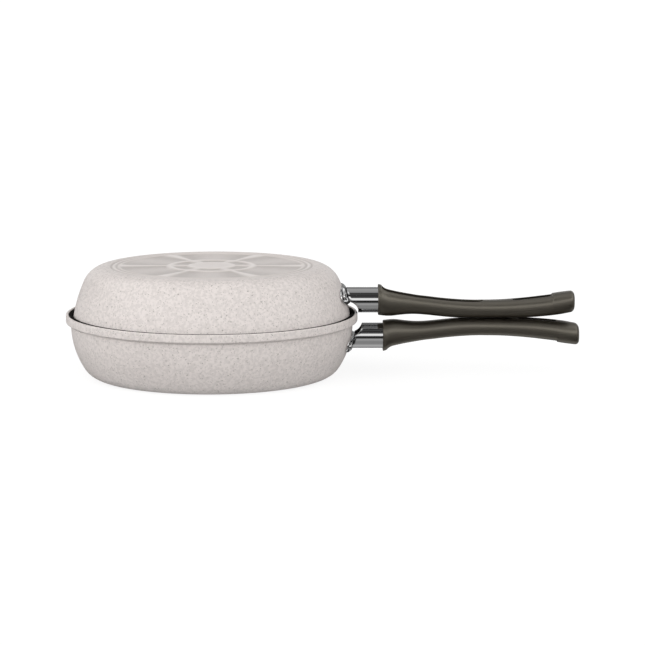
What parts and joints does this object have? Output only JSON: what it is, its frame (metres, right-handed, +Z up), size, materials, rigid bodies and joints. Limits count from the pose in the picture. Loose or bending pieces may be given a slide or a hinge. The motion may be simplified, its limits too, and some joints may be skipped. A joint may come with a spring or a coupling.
{
  "type": "double sided flip pan",
  "caption": "Two speckled frying pans that close rim to rim, one upside down in the sealed, stepped lip of the other, each with a bracket, a steel ferrule and a long moulded grip.",
  "frame": {"origin": "centre of the lower pan's base, on its underside", "axes": "+X points from the pan towards the ends of the handles, +Z is up, out of the upper pan's base"},
  "size_m": [0.4365, 0.248, 0.0942],
  "materials": {
    "speckled_coating": "matte",
    "bracket_chrome": "polished",
    "ferrule_steel": "polished",
    "fixing_steel": "satin",
    "grip_moulding": "satin",
    "seal_rubber": "matte"
  },
  "bodies": {
    "lower_pan": {"lower_pan_shell": "speckled_coating", "lower_handle_bracket": "bracket_chrome", "lower_rivet_near": "fixing_steel", "lower_rivet_far": "fixing_steel", "lower_ferrule": "ferrule_steel", "lower_handle_grip": "grip_moulding", "lower_tie_screw": "fixing_steel", "lower_flat_washer": "fixing_steel", "lower_spring_washer": "fixing_steel", "lower_seal": "seal_rubber"},
    "upper_pan": {"upper_pan_shell": "speckled_coating", "upper_handle_bracket": "bracket_chrome", "upper_rivet_near": "fixing_steel", "upper_rivet_far": "fixing_steel", "upper_ferrule": "ferrule_steel", "upper_handle_grip": "grip_moulding", "upper_tie_screw": "fixing_steel", "upper_flat_washer": "fixing_steel", "upper_spring_washer": "fixing_steel"}
  },
  "joints": [
    {"name": "upper_pan_lift", "type": "slide", "parent": "lower_pan", "child": "upper_pan", "axis": [0, 0, 1], "range_m": [0, 0.12]}
  ]
}
